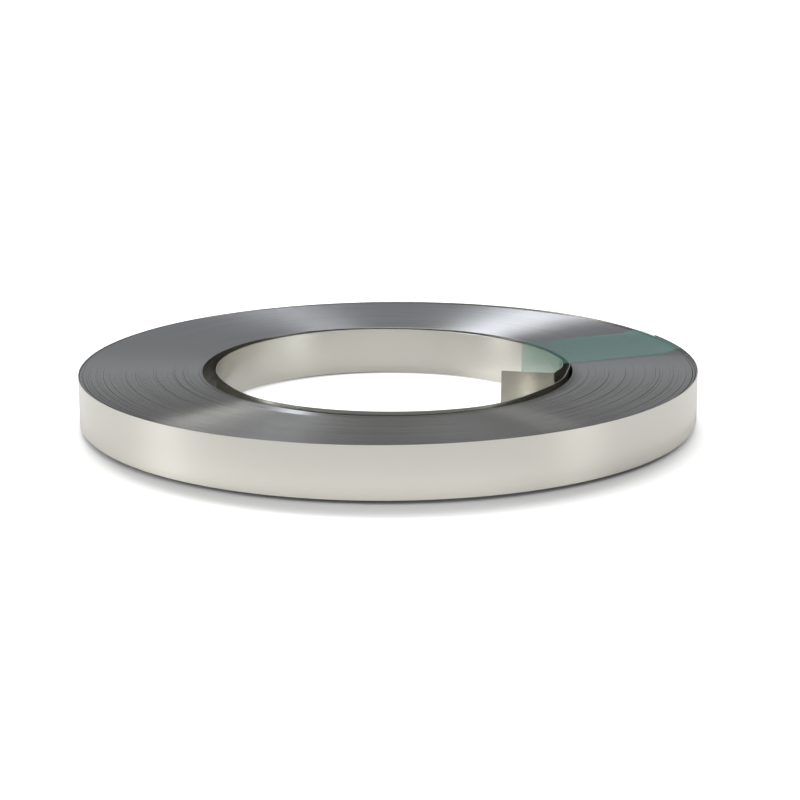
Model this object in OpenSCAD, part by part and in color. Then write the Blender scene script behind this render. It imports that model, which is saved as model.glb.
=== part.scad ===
// Flat pancake coil of nickel-plated steel strip, wound on edge and held shut by one band of tape.
// The origin is the centre of the coil on the surface that it lies on, +Z is up, and sizes are in mm.

/* [Strip] */
// Width of the strip, which is also the height of the coil
strip_w = 10; // [5:0.5:25]
// Thickness of the strip
strip_t = 0.2; // [0.1:0.05:0.5]

/* [Coil] */
// Diameter over the outer turn
coil_d = 130; // [100:1:220]
// Diameter of the bore that the tight turns leave
bore_d = 78; // [50:1:92]
// How far the tight turns have slid down from the rim to the bore
dish = 0.75; // [0:0.05:3]
// How much further up the outermost ridge has ridden
rim_lift = 0.4; // [0:0.05:1]
// Turns between two of the seams that show on the ends
turns_per_ridge = 4; // [2:1:20]
// How much the strip edges of neighbouring ridges differ in height
edge_scatter = 0.15; // [0.05:0.01:0.3]
// Depth of the seam between two ridges
seam_depth = 0.2; // [0.1:0.05:0.5]

/* [Loose inner turn] */
// Direction that the bent-in end of the strip points away from, in degrees from +X
tab_azimuth = -10; // [-90:1:90]
// Length of the bent-in end
tab_l = 12; // [4:0.5:20]
// Radius of its bend, on the middle of the strip
tab_bend_r = 1; // [0.5:0.1:3]
// Gap between the tight turns and the loose one where its end is bent in
tab_gap = 2.9; // [1.5:0.1:6]
// Gap between the tight turns and the loose one where the tape draws them together
tape_gap = 1.1; // [0.9:0.1:1.8]
// Gap between the tight turns and the loose one a quarter turn on from its end
back_gap = 0.5; // [0.2:0.1:2]
// Gap between the tight turns and the loose one where it springs out against them
touch_gap = 0.15; // [0.1:0.05:0.5]
// Widest gap between the tight turns and the loose one
slack_gap = 2.7; // [1:0.1:6]
// Clearance between the bend and the second turn, which passes outside it
lap_clear = 0.8; // [0.3:0.1:1.1]
// How far the loose turn stands up on the side where it leans out of the coil
lean = 1; // [0:0.1:1.5]

/* [Tape] */
// Width of the tape
tape_w = 21; // [10:1:40]
// Thickness of the tape
tape_t = 0.1; // [0.05:0.05:0.3]
// Direction of the tape from the centre, in degrees from +X
tape_azimuth = 20.5; // [10:0.5:60]
// How far the tape is wrapped askew of that direction, in degrees
tape_skew = -4; // [-8:1:8]
// Clearance between the tape and what it is wrapped round
tape_clear = 0.05; // [0.02:0.01:0.2]

/* [Hidden] */
$fn = 128;

coil_r = coil_d / 2;
bore_r = bore_d / 2;
wall = coil_r - bore_r;
turns = round(wall / strip_t);
ridges = round(turns / turns_per_ridge);
ridge_w = wall / ridges;
ridge_rise = dish * ridge_w / (wall - ridge_w);
seam_w = min(0.3 * ridge_w, 0.2);
base_z = tape_t + tape_clear;
lap_gap = tab_gap - strip_t - lap_clear;

// Where the loose turn touches and leaves the tight turns: angles along it, anticlockwise from
// the bent-in end, each with the gap there. It ends a little way inside the tight turns.
join_sink = strip_t + 0.05;
stations = [
    [0, tab_gap],
    [24, tape_gap],
    [48, tape_gap],
    [100, back_gap],
    [190, slack_gap],
    [205, slack_gap],
    [268, touch_gap],
    [305, touch_gap],
    [338, lap_gap],
    [362, 0.65 * lap_gap],
    [381, -join_sink],
];
join_a = stations[len(stations) - 1][0];
step_a = 4;
// Direction of the point round which the loose turn leans
lean_azimuth = 50;

// Lowest that the strip's lower edge lies at radius r: level under the first ridge, then rising
function lower_z(r) = base_z + dish * max(0, r - bore_r - ridge_w) / (wall - ridge_w);

// Scatter of ridge i, a repeatable value between none, which the first ridge has, and edge_scatter
function scatter(i) = edge_scatter * (1 - cos(i * 137.5)) / 2;
function ridge_r(i) = bore_r + i * ridge_w;
function ridge_z(i) = lower_z(ridge_r(i + 1)) + scatter(i) + (i == ridges - 1 ? rim_lift : 0);

// A number from 0 to 1 that starts and ends without a kink
function ease(t) = (1 - cos(180 * t)) / 2;

// Gap at angle a between the stations p and q
function gap_between(p, q, a) = p[1] + (q[1] - p[1]) * ease((a - p[0]) / (q[0] - p[0]));

// Gap between the bore and the outer face of the loose turn, at angle a along it
function loose_gap(a, k = 0) =
    k == len(stations) - 2 || a < stations[k + 1][0] ? gap_between(stations[k], stations[k + 1], a) :
    loose_gap(a, k + 1);

function polar(r, a) = [r * cos(a), r * sin(a)];
function mid_r(a) = bore_r - loose_gap(a) - strip_t / 2;

// Middle line of the free end of the strip: bent-in end, bend, then the loose turn
function free_end() =
    let (root_r = mid_r(0), bend_end_a = asin(tab_bend_r / root_r), bend_r0 = root_r - tab_bend_r)
    concat(
        [[root_r - tab_l, 0]],
        [for (b = [0:15:75]) [bend_r0 + tab_bend_r * sin(b), tab_bend_r * (1 - cos(b))]],
        [for (a = [bend_end_a:step_a:join_a]) polar(mid_r(a), a)]
    );

// Unit normal to the left of a line at its point i
function left_of(line, i) =
    let (d = line[min(i + 1, len(line) - 1)] - line[max(i - 1, 0)])
    [-d.y, d.x] / norm(d);

// Outline of a strip of thickness t along a line
function ribbon(line, t) = concat(
    [for (i = [0:len(line) - 1]) line[i] - left_of(line, i) * t / 2],
    [for (i = [len(line) - 1:-1:0]) line[i] + left_of(line, i) * t / 2]
);

// Upper edge of the turned section, from the bore outwards: flat ridges with a V seam between them
function ridge_line(lift, seam) = [
    for (i = [0:ridges - 1], end = [0, 1])
        let (inset = (i == 0 && end == 0) || (i == ridges - 1 && end == 1) ? 0 : seam_w / 2)
        [ridge_r(i + end) + (end == 0 ? inset : -inset), ridge_z(i) + lift]
];
function seam_line(lift, depth) = [
    for (i = [1:ridges - 1])
        [ridge_r(i), (ridge_z(i - 1) + ridge_z(i)) / 2 + lift + depth]
];

// The ridge and seam points in turn, as one line
function end_line(lift, depth) =
    let (tops = ridge_line(lift, depth), lows = seam_line(lift, depth))
    [for (i = [0:ridges - 1], k = [0:2]) if (k < 2 || i < ridges - 1) k < 2 ? tops[2 * i + k] : lows[i]];

function reversed(points) = [for (i = [len(points) - 1:-1:0]) points[i]];

module tight_turns() {
    rotate_extrude()
        polygon(concat(end_line(0, seam_depth), reversed(end_line(strip_w, -seam_depth))));
}

// Leans what stands in the bore about the floor line through its point at lean_azimuth
module leaning() {
    rotate(lean_azimuth)
        translate([bore_r, 0, base_z])
            rotate([0, atan(lean / bore_d), 0])
                translate([-bore_r, 0, 0])
                    rotate(-lean_azimuth)
                        children();
}

module loose_turn() {
    leaning()
        rotate(tab_azimuth)
            linear_extrude(strip_w)
                polygon(ribbon(free_end(), strip_t));
}

module strip_coil() {
    color("silver")
        union() {
            tight_turns();
            loose_turn();
        }
}

// What the tape is wrapped round, grown by g: the coil's section from the loose turn to the rim
module tape_core(g) {
    rim_r = coil_r + g;
    climb_r = ridge_r(ridges - 2);
    step_r = ridge_r(ridges - 1);
    far_r = 2 * coil_r;
    top = strip_w + ridge_rise + edge_scatter + g;
    half_a = asin(tape_w / 2 / (bore_r - tab_gap)) + 2 * abs(tape_skew) + 3;
    from_a = tape_azimuth - tab_azimuth - half_a;
    to_a = tape_azimuth - tab_azimuth + half_a;
    intersection() {
        rotate_extrude()
            polygon([
                [bore_r / 2, lower_z(0) - g],
                [ridge_r(1), lower_z(0) - g],
                [step_r, lower_z(step_r) - g],
                [rim_r, lower_z(coil_r) + rim_lift - g],
                [rim_r, lower_z(coil_r) + rim_lift + top],
                [step_r - g, lower_z(coil_r) + rim_lift + top],
                [climb_r - g, lower_z(climb_r) + top],
                [ridge_r(1), lower_z(0) + top],
                [bore_r / 2, lower_z(0) + top],
            ]);
        leaning()
            rotate(tab_azimuth)
                translate([0, 0, -strip_w])
                    linear_extrude(4 * strip_w)
                        polygon(concat(
                            [for (k = [0:12])
                                let (a = from_a + (to_a - from_a) * k / 12)
                                polar(mid_r(a) - strip_t / 2 - g, a)],
                            [polar(far_r, to_a), polar(far_r, from_a)]
                        ));
    }
}

module tape_band() {
    color("mediumseagreen")
        intersection() {
            difference() {
                tape_core(tape_clear + tape_t);
                tape_core(tape_clear);
            }
            rotate(tape_azimuth)
                translate([(coil_r + bore_r) / 2, 0, 0])
                    rotate(tape_skew)
                        cube([2 * wall, tape_w, 6 * strip_w], center = true);
        }
}

strip_coil();
tape_band();
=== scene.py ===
# %% [markdown]
# # A flat coil of nickel-plated steel strip
# The real object is one thin strip, wound on edge into a pancake coil and held shut by one band of
# green tape. It could be drawn as a ring with lines on it, but the lines are the edges of the turns,
# and they only catch the light as they do because each turn is a separate layer. So the strip is made
# here as it is: one ribbon, 0.2 mm thick, that runs from its bent-in inner end through every turn.

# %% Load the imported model
import math
import random

import bpy
import numpy as np
from mathutils import Matrix, Vector


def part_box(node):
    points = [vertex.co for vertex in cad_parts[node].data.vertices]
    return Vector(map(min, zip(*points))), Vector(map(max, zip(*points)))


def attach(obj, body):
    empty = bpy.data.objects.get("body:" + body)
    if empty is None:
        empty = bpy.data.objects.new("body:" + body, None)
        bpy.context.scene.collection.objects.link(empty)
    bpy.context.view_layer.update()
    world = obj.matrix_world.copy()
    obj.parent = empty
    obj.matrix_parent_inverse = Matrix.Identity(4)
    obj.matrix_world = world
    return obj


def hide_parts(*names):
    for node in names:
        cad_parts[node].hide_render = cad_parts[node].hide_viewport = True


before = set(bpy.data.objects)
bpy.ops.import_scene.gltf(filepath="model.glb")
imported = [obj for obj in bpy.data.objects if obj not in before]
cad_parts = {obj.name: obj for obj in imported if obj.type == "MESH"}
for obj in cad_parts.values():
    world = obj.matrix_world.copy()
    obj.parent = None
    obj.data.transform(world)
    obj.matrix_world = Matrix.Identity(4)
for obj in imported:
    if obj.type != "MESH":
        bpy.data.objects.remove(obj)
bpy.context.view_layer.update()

MM = 0.001
low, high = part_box("strip_coil")
COIL_R = (high.x - low.x) / 2 / MM
BASE_Z = low.z / MM
print(f"coil: {2 * COIL_R:.1f} mm across, {low.z / MM:.2f} to {high.z / MM:.2f} mm high")

# %% [markdown]
# ## Sizes
# The coil's own outer size comes from the model. What the model doesn't tell is named in millimetres and
# degrees: here the section of the strip and the bore that the tight turns leave, and the rest where it
# is first needed.

# %% Section and bore
STRIP_W = 10.0
STRIP_T = 0.2
BORE_R = 39.0
wall = COIL_R - BORE_R
print(f"wound wall: {wall:.1f} mm")

# %% [markdown]
# ## Camera
# A long lens a good arm's length away, looking down a little, shows the coil as it would be seen on a
# table. The distance and the aim are shares of the coil's radius, so that they follow its size.

# %% Camera
LOOK_DOWN = 14.358
ROLL = -0.232
LENS = 104.06
DISTANCE = 7.5453
AIM_RIGHT, AIM_UP = 0.039, 0.0529

scene = bpy.context.scene
coil_r = COIL_R * MM
aim = Vector((AIM_RIGHT * coil_r, 0, AIM_UP * coil_r))
view = Vector((0, math.cos(math.radians(LOOK_DOWN)), -math.sin(math.radians(LOOK_DOWN))))
camera = bpy.data.objects.new("camera", bpy.data.cameras.new("camera"))
camera.data.lens = LENS
camera.data.clip_start = 0.01
camera.matrix_world = (Matrix.Translation(aim - DISTANCE * coil_r * view)
                       @ Matrix.Rotation(math.radians(90 - LOOK_DOWN), 4, "X")
                       @ Matrix.Rotation(math.radians(ROLL), 4, "Z"))
scene.collection.objects.link(camera)
scene.camera = camera
scene.view_settings.view_transform = "Standard"
print(f"camera: {DISTANCE * coil_r:.3f} m from its aim")

# %% [markdown]
# ## Colours and nodes
# A colour is written as the hex value that a screen shows, and the shader needs the amount of light
# behind it. Two more helpers empty the node tree of a material or a world, and add one node to it: a
# node takes settings, values for its sockets, and links from other nodes.


# %% Three helpers
def colour(code):
    """The linear RGBA of an sRGB hex colour."""
    parts = [int(code[i:i + 2], 16) / 255 for i in (1, 3, 5)]
    return [c / 12.92 if c <= 0.04045 else ((c + 0.055) / 1.055) ** 2.4 for c in parts] + [1.0]


def add(tree, kind, inputs=None, **settings):
    """Adds a node. An input is a value, or the output socket of another node."""
    node = tree.nodes.new(kind)
    for name, value in settings.items():
        setattr(node, name, value)
    for name, value in (inputs or {}).items():
        if isinstance(value, bpy.types.NodeSocket):
            tree.links.new(value, node.inputs[name])
        else:
            node.inputs[name].default_value = value
    return node


def new_tree(owner):
    """An empty node tree for a material or a world."""
    owner.use_nodes = True
    owner.node_tree.nodes.clear()
    return owner.node_tree


# %% [markdown]
# ## Surroundings
# Bright metal shows what stands round it, so the surroundings are part of its finish. Behind the coil
# is a white wall, above it a bright ceiling that leans towards the camera, and the camera's side of the
# room is dark lower down, which keeps the narrow gaps in the coil dark. The level only depends on the
# direction: it grows with how far a direction points back, or up along the leaning ceiling's normal.
# Seen past the edge of the floor, the room is plain white.

# %% Room
BACK_WALL = 0.496
BACK_FROM, BACK_TO = -0.1, 0.7
CEILING = 0.76
CEILING_FROM, CEILING_TO = 0.3, 1.0
CEILING_LEAN = math.radians(25)

world = bpy.data.worlds.new("studio")
scene.world = world
tree = new_tree(world)
direction = add(tree, "ShaderNodeTexCoord").outputs["Generated"]
depth = add(tree, "ShaderNodeSeparateXYZ", {0: direction})
behind = add(tree, "ShaderNodeMapRange",
             {"Value": depth.outputs["Y"], "From Min": BACK_FROM, "From Max": BACK_TO,
              "To Max": BACK_WALL}, interpolation_type="SMOOTHSTEP")
overhead = add(tree, "ShaderNodeVectorMath",
               {0: direction, 1: (0, -math.sin(CEILING_LEAN), math.cos(CEILING_LEAN))},
               operation="DOT_PRODUCT")
above = add(tree, "ShaderNodeMapRange",
            {"Value": overhead.outputs["Value"], "From Min": CEILING_FROM, "From Max": CEILING_TO,
             "To Max": CEILING}, interpolation_type="SMOOTHSTEP")
room = add(tree, "ShaderNodeMath", {0: behind.outputs["Result"], 1: above.outputs["Result"]},
           operation="ADD")
path = add(tree, "ShaderNodeLightPath")
shown = add(tree, "ShaderNodeMath",
            {0: path.outputs["Is Camera Ray"], 1: path.outputs["Is Transmission Ray"]},
            operation="MAXIMUM")
level = add(tree, "ShaderNodeMath", {0: room.outputs[0], 1: shown.outputs[0]}, operation="MAXIMUM")
background = add(tree, "ShaderNodeBackground", {"Color": (1, 1, 1, 1), "Strength": level.outputs[0]})
add(tree, "ShaderNodeOutputWorld", {"Surface": background.outputs[0]})
print(f"room: back wall {BACK_WALL}, ceiling {CEILING}")

# %% [markdown]
# ## White sweep
# The floor is a sheet of white paper, so wide that its far edge is well behind the coil.

# %% Floor
FLOOR_HALF = 3.0
floor_mesh = bpy.data.meshes.new("floor")
floor_mesh.from_pydata([(x * FLOOR_HALF, y * FLOOR_HALF, 0) for x, y in ((-1, -1), (1, -1), (1, 1), (-1, 1))],
                       [], [(0, 1, 2, 3)])
floor = bpy.data.objects.new("floor", floor_mesh)
scene.collection.objects.link(floor)
print(f"floor: {2 * FLOOR_HALF:.0f} m square")

# %% [markdown]
# ## Glow of the paper
# White paper under soft lamps comes out grey, so it gets a glow that only lifts what the camera sees.
# The glow is left out round the foot of the coil, most widely in front, so the shadow there stays as
# the light makes it, and it comes back inside the bore. The metal mirrors the lit paper with a part of
# that glow. On top of that comes painted reflection: patches of glow that only glossy reflections see,
# close to the coil's foot, at the front left, inside the bore, and most in the bore's back right corner.
# They brighten the lower wall and the inner wall where these would mirror shade. Each of these places
# is a ramp by the distance from a centre on the floor: the centre, where the ramp starts, where it is
# full, all in millimetres, and how bright it is there.


# %% Ramps on the floor
def ramp_by_distance(tree, centre, start, stop, full=1.0):
    """From 0 where the floor is start mm from a centre to full where it is stop mm from it."""
    place = add(tree, "ShaderNodeTexCoord")
    far = add(tree, "ShaderNodeVectorMath", {0: place.outputs["Object"],
                                             1: (centre[0] * MM, centre[1] * MM, 0)}, operation="DISTANCE")
    ramp = add(tree, "ShaderNodeMapRange",
               {"Value": far.outputs["Value"], "From Min": start * MM, "From Max": stop * MM,
                "To Max": full}, interpolation_type="SMOOTHSTEP")
    return ramp.outputs["Result"]


# FOOT_GLOW, INNER_GLOW and CORNER_GLOW set painted reflection: glow in the paper that only glossy reflections
# see.
FOOT_GLOW, INNER_GLOW, CORNER_GLOW = 0.26, 0.14, 0.45
RAMPS = {
    "past the front shadow": ((0, -10), 58, 70.5),
    "past the rear shadow": ((0, 6), 60, 68),
    "in the bore": ((0, 0), BORE_R + 1, BORE_R - 1),
    "in the loose turn": ((1.2, 0.5), BORE_R - 1, BORE_R - 2.5),
    "inner foot": ((0, 0), BORE_R - 9, BORE_R - 2, INNER_GLOW),
    "back right corner": ((20, 25), 14, 5, CORNER_GLOW),
    "outer foot": ((0, 0), COIL_R + 30, COIL_R + 7, FOOT_GLOW),
    "front left": ((-15, -80), 80, 35),
}
print(f"paper: {len(RAMPS)} ramps")

# %% [markdown]
# The ramps are put together by a list of sums. Each takes two levels, which are ramps, earlier results,
# plain numbers or what kind of ray looks at the paper, and gives a new one.

# %% White paper
FLOOR_WHITE = 0.88
FLOOR_GLOW = 0.66
MIRRORED_GLOW = 0.03
SUMS = [
    ("outside", "MINIMUM", "past the front shadow", "past the rear shadow"),
    ("plain", "MAXIMUM", "outside", "in the bore"),
    ("looked at", "MAXIMUM", "Is Camera Ray", "Is Transmission Ray"),
    ("seen", "MULTIPLY", "looked at", "plain"),
    ("seen", "MULTIPLY", "seen", FLOOR_GLOW),
    ("inner foot", "MULTIPLY", "in the loose turn", "inner foot"),
    ("corner", "MULTIPLY", "in the loose turn", "back right corner"),
    ("outer foot", "MULTIPLY", "front left", "outer foot"),
    # The mirrored levels are painted reflection: glow that only glossy rays see, strongest at the coil's foot
    # and in the bore.
    ("mirrored", "MULTIPLY", "outside", MIRRORED_GLOW),
    ("mirrored", "MAXIMUM", "mirrored", "outer foot"),
    ("mirrored", "MAXIMUM", "mirrored", "inner foot"),
    ("mirrored", "MAXIMUM", "mirrored", "corner"),
    ("mirrored", "MULTIPLY", "mirrored", "Is Glossy Ray"),
    ("glow", "MAXIMUM", "seen", "mirrored"),
]

paper = bpy.data.materials.new("white_paper_sweep")
tree = new_tree(paper)
levels = dict(add(tree, "ShaderNodeLightPath").outputs.items())
for name, ramp in RAMPS.items():
    levels[name] = ramp_by_distance(tree, *ramp)
for name, operation, *terms in SUMS:
    values = {k: levels[term] if isinstance(term, str) else term for k, term in enumerate(terms)}
    levels[name] = add(tree, "ShaderNodeMath", values, operation=operation).outputs[0]
light = add(tree, "ShaderNodeEmission", {"Strength": levels["glow"]})
white = add(tree, "ShaderNodeBsdfDiffuse", {"Color": (FLOOR_WHITE, FLOOR_WHITE, FLOOR_WHITE, 1)})
lit = add(tree, "ShaderNodeAddShader", {0: white.outputs[0], 1: light.outputs[0]})
add(tree, "ShaderNodeOutputMaterial", {"Surface": lit.outputs[0]})
floor_mesh.materials.append(paper)
print(f"paper: {len(tree.nodes)} nodes")

# %% [markdown]
# ## Lamps
# Two small soft boxes high behind the coil rake over the turned face. The edges of the turns are like
# the grooves of a record, so each lamp shows as a bright fan that runs straight out from the bore, and
# not as a spot. Two more stand at the left and at the right, and low at both sides stand cards, which
# show as broad soft bands in the walls.


# %% Lamps
def soft_box(name, azimuth, height, distance, size, energy):
    """A square lamp that looks at the coil from a direction in degrees, energy in watts."""
    lamp = bpy.data.lights.new(name, "AREA")
    lamp.size = size
    lamp.energy = energy
    a, h = math.radians(azimuth), math.radians(height)
    place = distance * Vector((math.cos(h) * math.cos(a), math.cos(h) * math.sin(a), math.sin(h)))
    ob = bpy.data.objects.new(name, lamp)
    ob.matrix_world = Matrix.Translation(place) @ place.to_track_quat("Z", "Y").to_matrix().to_4x4()
    scene.collection.objects.link(ob)
    print(f"{name}: {energy} W")


soft_box("lamp_back_left", azimuth=111.5, height=54, distance=1.2, size=0.2, energy=3.4)
soft_box("lamp_back_right", azimuth=72.5, height=60, distance=1.2, size=0.17, energy=1.0)
soft_box("lamp_right", azimuth=20, height=45, distance=1.0, size=1.0, energy=1.5)
soft_box("lamp_left", azimuth=188, height=25, distance=1.0, size=0.45, energy=1.8)
soft_box("card_left", azimuth=186, height=6, distance=1.0, size=0.3, energy=2.3)
soft_box("card_right", azimuth=-20, height=8, distance=1.0, size=0.3, energy=1.4)

# %% [markdown]
# ## The course of the strip
# A strip that is wound on a mandrel and let go springs open, and its innermost turn comes loose. On this
# coil its end is bent in by a right angle, as a tab, and the loose turn wanders off the bore and back to
# it. The course is one long line of points on the middle of the strip: the tab, the bend, the loose
# turn, then the tight turns as a spiral. It ends under the tape, which is what holds the coil. Each
# station says how far the outer face of the loose turn stands off the bore at an angle along it.

# %% Loose turn
TAB_AZIMUTH = -10.0
TAB_L = 12.0
TAB_BEND_R = 1.0
TAB_STEPS = 12
BEND_STEP = 15
JOIN = 381.0
STATIONS = [(0, 2.9), (24, 1.1), (48, 1.1), (100, 0.5), (190, 2.7), (205, 2.6), (250, 0.2), (305, 0.15),
            (338, 1.9), (362, 1.24), (JOIN, -STRIP_T)]
stands = [gap for a, gap in STATIONS[:-1]]
print(f"loose turn: {min(stands)} to {max(stands)} mm off the bore")


def ease(t):
    """0 to 1 without a kink at either end."""
    return (1 - np.cos(np.pi * np.clip(t, 0, 1))) / 2


def loose_gap(a):
    """Gap between the bore and the outer face of the loose turn, at angle a along it."""
    gap = np.full_like(a, STATIONS[0][1])
    for (a0, g0), (a1, g1) in zip(STATIONS, STATIONS[1:]):
        gap = np.where(a > a0, g0 + (g1 - g0) * ease((a - a0) / (a1 - a0)), gap)
    return gap


def tab_line():
    """Points from the tip of the tab to the end of its bend, as if the tab lay along X."""
    root = BORE_R - STATIONS[0][1] - STRIP_T / 2
    straight = [(root - TAB_L + (TAB_L - TAB_BEND_R) * k / TAB_STEPS, 0) for k in range(TAB_STEPS + 1)]
    bend = [(root - TAB_BEND_R + TAB_BEND_R * math.sin(b), TAB_BEND_R * (1 - math.cos(b)))
            for b in np.radians(range(BEND_STEP, 90, BEND_STEP))]
    return np.array(straight + bend)


# %% [markdown]
# ## How tightly the turns lie
# The turns aren't all alike. Most lie hard on each other, and every few turns one stands off by some
# hundredths of a millimetre, which shows on the face as a thin dark seam. Such seams open at the front
# left and at the front right, each side with its own set, and close again between them. So there are two
# windings here, which hold in their own sector, and elsewhere the turns lie evenly. Everything is drawn
# from one seeded source. The seams are about twice as wide as on the real coil, so that they show.

# %% Number of turns
END_AZIMUTH = 24.0
AIR = 0.075
KNOTS_PER_TURN = 3
RIM_TURNS = 3.2

turns = int((wall - STRIP_T) / (STRIP_T * (1 + AIR)))
end = JOIN + 360 * turns
end += (END_AZIMUTH - TAB_AZIMUTH - end) % 360 - 360
last = (end - JOIN) / 360
knots = np.arange(0, turns + 2, 1 / KNOTS_PER_TURN)
print(f"strip: {turns} tight turns")

# %% [markdown]
# A winding is drawn at knots along the strip, three to a turn. Each knot has a little air before it and
# a height of its own. At every seam there is much more air, and the strip beyond it has slipped to
# another height. The last two gaps are under the turns that have ridden up at the rim.

# %% Two windings
EVEN_AIR, MORE_AIR = 0.2, 0.5
SEAM_AIR = [4, 8, 12, 18]
ROUGH, ROUGHEST = 0.15, 1.2
SECTOR_SPAN = 26.0
rng = random.Random(7)


def winding(gaps, rim_air):
    """Share of the air that lies before each knot, and the height of the strip there."""
    air = np.array([EVEN_AIR + MORE_AIR * rng.random() for k in knots])
    height = np.array([rng.gauss(0, ROUGH) for k in knots])
    at = rng.uniform(1, 3)
    while at < turns - 4:
        knot = int(at * KNOTS_PER_TURN)
        air[knot] += rng.choice(SEAM_AIR)
        height[knot:] += rng.uniform(0, 1) - height[knot]
        at += rng.choice(gaps) + rng.uniform(-0.4, 0.4)
    air[int((last - 1) * KNOTS_PER_TURN)] += rim_air
    air[int((last - RIM_TURNS) * KNOTS_PER_TURN)] += rim_air / 2
    air = np.cumsum(air) - air[0]
    return air / np.interp(last, knots, air), np.clip(height, 0, ROUGHEST)


SECTORS = [(-24.0, 0.06, *winding([2, 3, 3, 4, 5, 7], 60)), (-156.0, 0.04, *winding([2, 3, 4, 5, 6], 30))]
for middle, rise, shares, heights in SECTORS:
    print(f"winding at {middle:.0f} degrees: strip edges differ by up to {rise * heights.max():.2f} mm")

# %% [markdown]
# ## The dished face
# The inner turns sag below the rim, most at the front right, and the outermost few have ridden up. Near
# the bent-in end the first turns also stand off a little towards the bore.

# %% Place of a tight turn
DISH = 0.6
SAG_AZIMUTH, SAG_LESS = -40.0, 0.55
RIM_AZIMUTH, RIM_LIFT = -45.0, 0.8
RIM_MIDDLE, RIM_SWING = 0.6, 0.4
OUTER_TURNS, OUTER_SHARE = 1.1, 0.95
RISE_TURNS = 0.2
STAND_OFF_AZIMUTH, STAND_OFF, STAND_OFF_TURNS = -20.0, 0.45, 5


def share(azimuth, middle):
    """How much a winding counts: 1 in the middle of its sector, less and less away from it."""
    return np.exp(-(((azimuth - middle + 180) % 360 - 180) / SECTOR_SPAN) ** 2)


def tight_r(u, azimuth):
    """Radius of the middle of the strip after u tight turns."""
    spare = wall - STRIP_T - STRIP_T * last
    air = u / last
    for middle, rise, shares, heights in SECTORS:
        air = air + share(azimuth, middle) * (np.interp(u, knots, shares) - u / last)
    inwards = STAND_OFF * share(azimuth, STAND_OFF_AZIMUTH)
    inwards = inwards * np.clip(1 - u / STAND_OFF_TURNS, 0, 1) ** 1.5 * ease(u / 0.6)
    return BORE_R + STRIP_T / 2 + STRIP_T * u + spare * air - inwards


def tight_z(u, azimuth):
    """Height of the lower edge of the strip after u tight turns."""
    rough = sum(rise * share(azimuth, middle) * np.interp(u, knots, heights)
                for middle, rise, shares, heights in SECTORS)
    out = (tight_r(u, azimuth) - BORE_R) / wall
    raised = SAG_LESS * (1 - np.cos(np.radians(azimuth - SAG_AZIMUTH))) / 2 * (1 - out)
    lift = RIM_LIFT * (RIM_MIDDLE + RIM_SWING * np.cos(np.radians(azimuth - RIM_AZIMUTH)))
    lift = lift * ((1 - OUTER_SHARE) * ease((u - last + RIM_TURNS) / RISE_TURNS)
                   + OUTER_SHARE * ease((u - last + OUTER_TURNS) / RISE_TURNS))
    return BASE_Z + DISH * out + raised + lift + ease(u / 1.5) * rough


face = tight_z(np.array([0, last]), np.array([SAG_AZIMUTH] * 2)) + STRIP_W
print(f"face at the front right: {face[0]:.2f} mm high at the bore, {face[1]:.2f} mm at the rim")

# %% [markdown]
# ## The whole course
# The loose turn also leans: it rests on the table at one side of the bore and stands up a little at the
# other. The whole turn is tipped about that low point, and the tip dies out where the strip joins the
# tight turns. The tab was bent by hand and leans back a few degrees, a lean that the bend takes up.

# %% The whole course
POINTS_PER_TURN = 160
TAB_SPAN = 10
TAB_LEAN, TAB_LEAN_SPAN = math.radians(6), 12
LEAN, LEAN_AZIMUTH, LEAN_SPAN = 1.0, 50.0, 40


def tipped(points, tip):
    """Points leaned by an angle each about the floor line through the bore at LEAN_AZIMUTH."""
    az = math.radians(LEAN_AZIMUTH)
    along = points[:, 0] * math.cos(az) + points[:, 1] * math.sin(az) - BORE_R
    up = points[:, 2] - BASE_Z
    out = along * np.cos(tip) + up * np.sin(tip) - along
    rise = -along * np.sin(tip) + up * np.cos(tip) - up
    return points + np.column_stack([out * math.cos(az), out * math.sin(az), rise])


def course():
    """Lower and upper points of the middle of the strip, and the angle along it, in mm and degrees."""
    step = 360 / POINTS_PER_TURN
    a = np.append(np.arange(step, end, step), end)
    u = np.maximum(a - JOIN, 0) / 360
    r = np.where(a < JOIN, BORE_R - loose_gap(a) - STRIP_T / 2, tight_r(u, a + TAB_AZIMUTH))
    turn = np.radians(a)
    tab = tab_line()
    line = np.vstack([tab, np.stack([r * np.cos(turn), r * np.sin(turn)], 1)])
    a = np.concatenate([np.linspace(-TAB_SPAN, 0, len(tab)), a])
    az = math.radians(TAB_AZIMUTH)
    line = line @ np.array([[math.cos(az), math.sin(az)], [-math.sin(az), math.cos(az)]])
    lower_z = np.where(a < JOIN, BASE_Z, tight_z(np.maximum(a - JOIN, 0) / 360, a + TAB_AZIMUTH))
    lower = np.column_stack([line, lower_z])
    way = np.gradient(line, axis=0)
    way /= np.linalg.norm(way, axis=1)[:, None]
    back = STRIP_W * math.tan(TAB_LEAN) * (1 - ease(a / TAB_LEAN_SPAN))
    upper = lower + np.column_stack([-way[:, 1] * back, way[:, 0] * back, np.full(len(a), STRIP_W)])
    tip = np.arctan(LEAN / 2 / BORE_R) * (1 - ease((a - JOIN + LEAN_SPAN / 2) / LEAN_SPAN))
    return [tipped(points, tip) for points in (lower, upper)] + [a]


lower, upper, angle = course()
length = np.append(0, np.cumsum(np.linalg.norm(np.diff(lower[:, :2], axis=0), axis=1)))
print(f"strip: {length[-1] / 1000:.1f} m long, {len(lower)} points")

# %% [markdown]
# ## Slope of the edges
# Slitting knives leave an edge that is rolled over on one side and has a fine burr on the other, so no
# edge is square. Here the outer corner stands a few hundredths of a millimetre above the inner one,
# which is why a lamp behind the coil lights the far side of the face and leaves the near side dark. At
# one place the first turns were rubbed by the mandrel and lean the other way, so they flash there.

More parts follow.
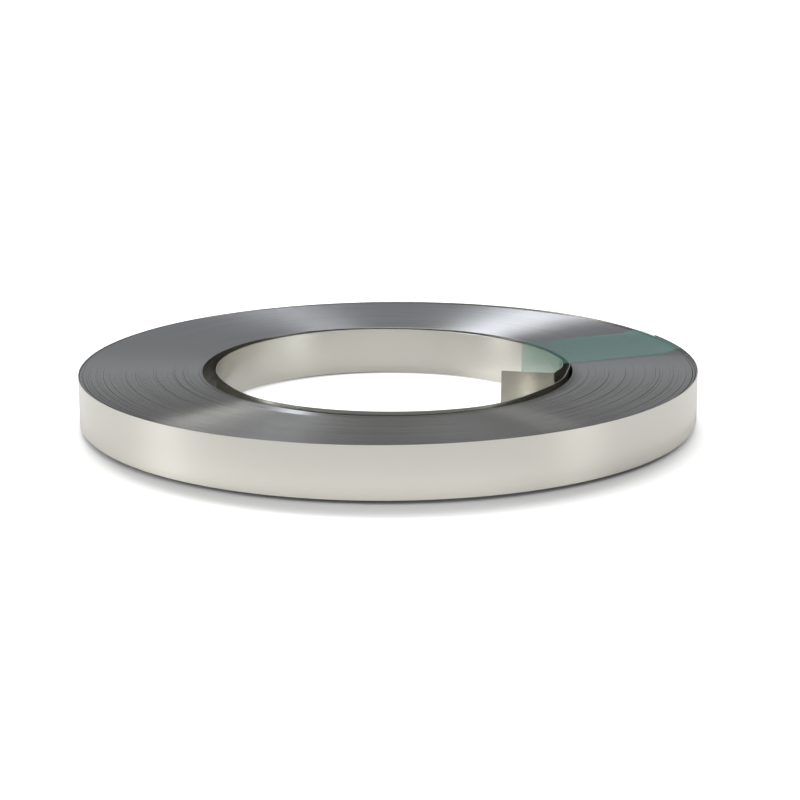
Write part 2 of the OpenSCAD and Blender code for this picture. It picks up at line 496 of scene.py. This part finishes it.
# %% Slope of the slit edges
EDGE_SLOPE, SLOPE_SPREAD = 12.0, 0.15
RIM_SLOPE, RIM_SLOPE_TURNS = 2.0, 14
FIRST_TURNS, FIRST_SLOPE = 8.0, 15.0
RUBBED_AZIMUTH, RUBBED_SPAN, RUBBED_TURNS, RUBBED_SLOPE = -122.0, 8.0, 13.0, -38.0
slope_rng = np.random.default_rng(3)
slopes = EDGE_SLOPE * slope_rng.uniform(1 - SLOPE_SPREAD, 1 + SLOPE_SPREAD, len(knots))
slopes[knots < FIRST_TURNS] = FIRST_SLOPE


def burr(a):
    """How far the outer corner stands out past the middle of the edge, at angle a, in mm."""
    u = np.maximum(a - JOIN, 0) / 360
    off = (a + TAB_AZIMUTH - RUBBED_AZIMUTH + 180) % 360 - 180
    rubbed = np.exp(-(off / RUBBED_SPAN) ** 2) * np.clip(RUBBED_TURNS - u, 0, 1)
    slope = np.interp(u, knots, slopes) + RIM_SLOPE * np.exp((u - last) / RIM_SLOPE_TURNS)
    return STRIP_T / 2 * np.tan(np.radians(slope + RUBBED_SLOPE * rubbed))


print(f"burr: {burr(angle).min():.3f} to {burr(angle).max():.3f} mm")

# %% [markdown]
# ## The ribbon
# A rectangle is swept along the course, four corners at each point, with caps at both ends. Its two wide
# faces are the plated surface and its two narrow ones are the slit edges, so they get their materials
# here. The map holds the length along the strip and the way round it, which is what the rolling and
# slitting marks follow.

# %% Sweep
SHARP = math.radians(40)


def strip_map(count):
    """Length along the strip and way round it, in metres, for each corner of each face."""
    start = np.repeat(np.cumsum([0, STRIP_T, STRIP_W, STRIP_T]), count - 1)
    far = start + np.repeat([STRIP_T, STRIP_W, STRIP_T, STRIP_W], count - 1)
    near_u, far_u = np.tile(length[:-1], 4), np.tile(length[1:], 4)
    sides = np.stack([np.stack([near_u, far], 1), np.stack([far_u, far], 1),
                      np.stack([far_u, start], 1), np.stack([near_u, start], 1)], 1)
    cap = np.array([[0, 0], [STRIP_T, 0], [STRIP_T, STRIP_W], [0, STRIP_W]])
    return (np.concatenate([sides, [cap - [1, 0], cap - [2, 0]]]) * MM).astype(np.float32)


def ribbon():
    """The strip as one closed mesh: corners in the order inner low, outer low, outer high, inner high."""
    way = np.gradient(lower[:, :2], axis=0)
    way /= np.linalg.norm(way, axis=1)[:, None]
    inward = np.column_stack([-way[:, 1], way[:, 0], np.zeros(len(way))]) * STRIP_T / 2
    stand = burr(angle)[:, None] * np.array([0, 0, 1])
    corners = np.stack([lower + inward + stand, lower - inward - stand,
                        upper - inward + stand, upper + inward - stand], 1)
    count = len(corners)
    at = np.arange(count - 1)[:, None] * 4
    sides = np.concatenate([at + [(k + 1) % 4, 4 + (k + 1) % 4, 4 + k, k] for k in range(4)])
    ends = 4 * (count - 1)
    faces = np.vstack([sides, [[0, 1, 2, 3]], [[ends + 3, ends + 2, ends + 1, ends]]])
    mesh = bpy.data.meshes.new("steel_strip")
    mesh.from_pydata((corners.reshape(-1, 3) * MM).tolist(), [], faces.tolist())
    mesh.uv_layers.new(name="along_strip").uv.foreach_set("vector", strip_map(count).ravel())
    edges = np.append(np.repeat([1, 0, 1, 0], count - 1), [1, 1]).astype(np.int32)
    mesh.polygons.foreach_set("material_index", edges)
    mesh.shade_smooth()
    mesh.set_sharp_from_angle(angle=SHARP)
    return mesh


strip = bpy.data.objects.new("steel_strip", ribbon())
scene.collection.objects.link(strip)
print(f"ribbon: {len(strip.data.polygons)} faces")

# %% [markdown]
# ## Bright nickel plate
# The strip is cold rolled, so its faces are smooth with very fine lines along it, and the nickel is
# plated on bright. Nickel is a warm, slightly yellow white. The lines spread a reflection across the
# strip but hardly along it, which is what the anisotropy does. Real rolling lines are some hundredths of
# a millimetre apart. That is too fine to show, so they are drawn six to the millimetre.

# %% Nickel plate
LINE_L, LINES_PER_MM = 50.0, 6.0


def nickel():
    """Bright nickel on cold-rolled steel, a metal with faint lines along the strip."""
    material = bpy.data.materials.new("bright_nickel_plate")
    tree = new_tree(material)
    place = add(tree, "ShaderNodeUVMap", uv_map="along_strip")
    lines = add(tree, "ShaderNodeMapping", {"Vector": place.outputs[0],
                                            "Scale": (1 / (LINE_L * MM), LINES_PER_MM / MM, 1)})
    grain = add(tree, "ShaderNodeTexNoise", {"Vector": lines.outputs[0], "Scale": 1.0, "Detail": 3.0})
    rough = add(tree, "ShaderNodeMapRange", {"Value": grain.outputs[0], "From Min": 0.3, "From Max": 0.7,
                                             "To Min": 0.24, "To Max": 0.26})
    bump = add(tree, "ShaderNodeBump", {"Height": grain.outputs[0], "Strength": 0.03, "Distance": 0.0001})
    tangent = add(tree, "ShaderNodeTangent", direction_type="UV_MAP", uv_map="along_strip")
    steel = add(tree, "ShaderNodeBsdfPrincipled",
                {"Base Color": colour("#D8D6CD"), "Metallic": 1.0, "Roughness": rough.outputs[0],
                 "Anisotropic": 0.6, "Anisotropic Rotation": 0.25, "Tangent": tangent.outputs[0],
                 "Normal": bump.outputs[0]})
    add(tree, "ShaderNodeOutputMaterial", {"Surface": steel.outputs[0]})
    return material


strip.data.materials.append(nickel())
print(f"nickel: lines {1 / LINES_PER_MM:.2f} mm apart")

# %% [markdown]
# ## Slit edges
# The edges were slit after plating, so they are bare steel, darker, with lines along the strip. A slit
# edge has two zones: one that the knives sheared smooth, and a thinner one that tore and scatters light
# like a matt grey. They are far too fine to draw apart, so the material is a blend of the two. The marks
# of the knives vary along the strip every few centimetres and from turn to turn, three to the
# millimetre.

# %% Slit steel
SHEARED = 0.85
MARK_L, MARKS_PER_MM = 100 / 3, 3.0


def slit_edge():
    """Bare slit steel, mostly sheared bright, with marks along the strip."""
    material = bpy.data.materials.new("slit_steel_edge")
    tree = new_tree(material)
    place = add(tree, "ShaderNodeUVMap", uv_map="along_strip")
    marks = add(tree, "ShaderNodeMapping", {"Vector": place.outputs[0],
                                            "Scale": (1 / (MARK_L * MM), MARKS_PER_MM / MM, 1)})
    shade = add(tree, "ShaderNodeTexNoise", {"Vector": marks.outputs[0], "Scale": 1.0, "Detail": 4.0})
    tint = add(tree, "ShaderNodeMix", {"Factor": shade.outputs[0], "A": colour("#67696C"),
                                       "B": colour("#A4A6AA")}, data_type="RGBA")
    rough = add(tree, "ShaderNodeMapRange", {"Value": shade.outputs[0], "From Min": 0.4, "From Max": 0.6,
                                             "To Min": 0.28, "To Max": 0.4})
    bump = add(tree, "ShaderNodeBump", {"Height": shade.outputs[0], "Strength": 0.3, "Distance": 0.00005})
    tangent = add(tree, "ShaderNodeTangent", direction_type="UV_MAP", uv_map="along_strip")
    steel = add(tree, "ShaderNodeBsdfPrincipled",
                {"Base Color": tint.outputs[2], "Metallic": SHEARED, "Roughness": rough.outputs[0],
                 "Anisotropic": 1.0, "Anisotropic Rotation": 0.25, "Tangent": tangent.outputs[0],
                 "Normal": bump.outputs[0]})
    add(tree, "ShaderNodeOutputMaterial", {"Surface": steel.outputs[0]})
    return material


strip.data.materials.append(slit_edge())
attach(strip, "root")
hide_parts("strip_coil")
print(f"strip: {len(strip.data.materials)} materials")

# %% [markdown]
# ## The tape
# A band of thin green film goes once through the bore and round the coil. It lies on the turns, bridges
# the gap to the loose turn, and stands off a little where it goes over the lifted rim. It is built as
# that path round the section, worked out anew for each line across the tape's width, so that it hugs
# the round bore and the round wall while its own edges stay straight.

# %% Way of the tape
TAPE_W = 21.0
TAPE_AZIMUTH = 20.5
TAPE_SKEW = -4.0
TAPE_MID = (COIL_R + BORE_R) / 2


def tape_point(s, w):
    """The place above the floor of the point s along the tape and w off its middle."""
    az = math.radians(TAPE_AZIMUTH)
    way = math.radians(TAPE_AZIMUTH + TAPE_SKEW)
    return (TAPE_MID * math.cos(az) + s * math.cos(way) - w * math.sin(way),
            TAPE_MID * math.sin(az) + s * math.sin(way) + w * math.cos(way))


def across(rho, w):
    """Distance along the tape's middle direction at which it is rho from the axis, w off its middle."""
    skew = math.radians(TAPE_SKEW)
    return math.sqrt(rho ** 2 - (w - TAPE_MID * math.sin(skew)) ** 2) - TAPE_MID * math.cos(skew)


def loose_face(w):
    """Distance along the tape of the inner face of the loose turn, w off the middle of the tape."""
    rho = BORE_R
    for _ in range(4):
        s = across(rho, w)
        x, y = tape_point(s, w)
        a = math.degrees(math.atan2(y, x)) - TAB_AZIMUTH
        rho = BORE_R - float(loose_gap(np.array([a]))[0]) - STRIP_T
    return s


print(f"tape: from {loose_face(0):.1f} to {across(COIL_R, 0):.1f} mm along its middle")

# %% [markdown]
# The section that the tape goes round has ten corners. It starts at the foot of the loose turn, runs out
# under the coil, up the wall and over the ridge at the rim, and then back across the face.

# %% Section under the tape
FOOT_Z = 0.04
FACE_Z = STRIP_W + 0.1
RIM_Z = DISH + 0.85 * RIM_LIFT


def section(w):
    """Corners of what the tape goes round, anticlockwise from the foot of the loose turn."""
    inner = loose_face(w)
    corners = [
        (inner, FOOT_Z), (across(BORE_R + 3, w), FOOT_Z), (across(COIL_R - 1, w), DISH),
        (across(COIL_R, w), RIM_Z), (across(COIL_R, w), RIM_Z + FACE_Z - 0.3),
        (across(COIL_R - 0.5, w), RIM_Z + FACE_Z + 0.08), (across(COIL_R - 2, w), RIM_Z + FACE_Z + 0.05),
        (across(COIL_R - 4.5, w), DISH + FACE_Z), (across(BORE_R, w), FACE_Z), (inner, FACE_Z),
    ]
    return np.array(corners) + [0, BASE_Z]


def resampled(corners, count):
    """A closed outline as evenly spaced points, with its corners eased."""
    closed = np.vstack([corners, corners[:1]])
    run = np.append(0, np.cumsum(np.linalg.norm(np.diff(closed, axis=0), axis=1)))
    at = np.linspace(0, run[-1], count, endpoint=False)
    line = np.column_stack([np.interp(at, run, closed[:, k]) for k in (0, 1)])
    for _ in range(2):
        line = (np.roll(line, 1, 0) + 2 * line + np.roll(line, -1, 0)) / 4
    return line


print(f"tape: over a rim {RIM_Z + FACE_Z:.2f} mm high")

# %% [markdown]
# The film itself is that closed outline set off twice, once for each of its faces, at every line across
# the tape's width. The two long edges are closed by a narrow strip each, so the film has a thickness.

# %% Tape mesh
TAPE_T = 0.08
TAPE_CLEAR = 0.04
TAPE_COLUMNS, TAPE_POINTS = 40, 200
TAPE_SHARP = math.radians(60)


def tape_mesh():
    """The tape as two closed sheets, one inside the other, that are joined along its two edges."""
    count = TAPE_POINTS
    outer, inner = [], []
    for k in range(TAPE_COLUMNS + 1):
        w = TAPE_W * (k / TAPE_COLUMNS - 0.5)
        line = resampled(section(w), count)
        way = np.roll(line, -1, 0) - np.roll(line, 1, 0)
        way /= np.linalg.norm(way, axis=1)[:, None]
        out = np.column_stack([way[:, 1], -way[:, 0]])
        for layer, gap in ((inner, TAPE_CLEAR), (outer, TAPE_CLEAR + TAPE_T)):
            layer.append([(*tape_point(s, w), z) for s, z in line + out * gap])
    points = np.array(outer + inner).reshape(-1, 3) * MM
    faces = []
    sheet = (TAPE_COLUMNS + 1) * count
    for k in range(TAPE_COLUMNS):
        for i in range(count):
            j = (i + 1) % count
            a, b, c, d = k * count + i, k * count + j, (k + 1) * count + j, (k + 1) * count + i
            faces.append((d, c, b, a))
            faces.append((sheet + a, sheet + b, sheet + c, sheet + d))
    far = TAPE_COLUMNS * count
    for i in range(count):
        j = (i + 1) % count
        faces.append((i, j, sheet + j, sheet + i))
        faces.append((far + j, far + i, sheet + far + i, sheet + far + j))
    mesh = bpy.data.meshes.new("green_tape")
    mesh.from_pydata(points.tolist(), [], faces)
    mesh.shade_smooth()
    mesh.set_sharp_from_angle(angle=TAPE_SHARP)
    return mesh


tape = bpy.data.objects.new("green_tape", tape_mesh())
scene.collection.objects.link(tape)
print(f"tape: {len(tape.data.polygons)} faces")

# %% [markdown]
# ## Green film
# Tape like this is a clear polyester film that is tinted green, with a silicone adhesive. The steel
# shows through it, so it is partly transparent, and its surface is smooth and glossy. The adhesive has
# wetted the steel unevenly, in patches a few millimetres across, which makes the green a little cloudy.

# %% Tape film
CLOUD = 100 / 18


def film():
    """Green polyester film, thin enough to see the turns through."""
    material = bpy.data.materials.new("green_polyester_film")
    tree = new_tree(material)
    place = add(tree, "ShaderNodeTexCoord")
    cloud = add(tree, "ShaderNodeTexNoise",
                {"Vector": place.outputs["Object"], "Scale": 1 / (CLOUD * MM), "Detail": 3.0})
    tint = add(tree, "ShaderNodeMix", {"Factor": cloud.outputs[0], "A": colour("#42A692"),
                                       "B": colour("#60BBAA")}, data_type="RGBA")
    rough = add(tree, "ShaderNodeMapRange", {"Value": cloud.outputs[0], "To Min": 0.2, "To Max": 0.4})
    plastic = add(tree, "ShaderNodeBsdfPrincipled",
                  {"Base Color": tint.outputs[2], "Roughness": rough.outputs[0], "IOR": 1.57, "Alpha": 0.13})
    add(tree, "ShaderNodeOutputMaterial", {"Surface": plastic.outputs[0]})
    return material


tape.data.materials.append(film())
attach(tape, "root")
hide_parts("tape_band")
print(f"film: patches {CLOUD:.1f} mm across")
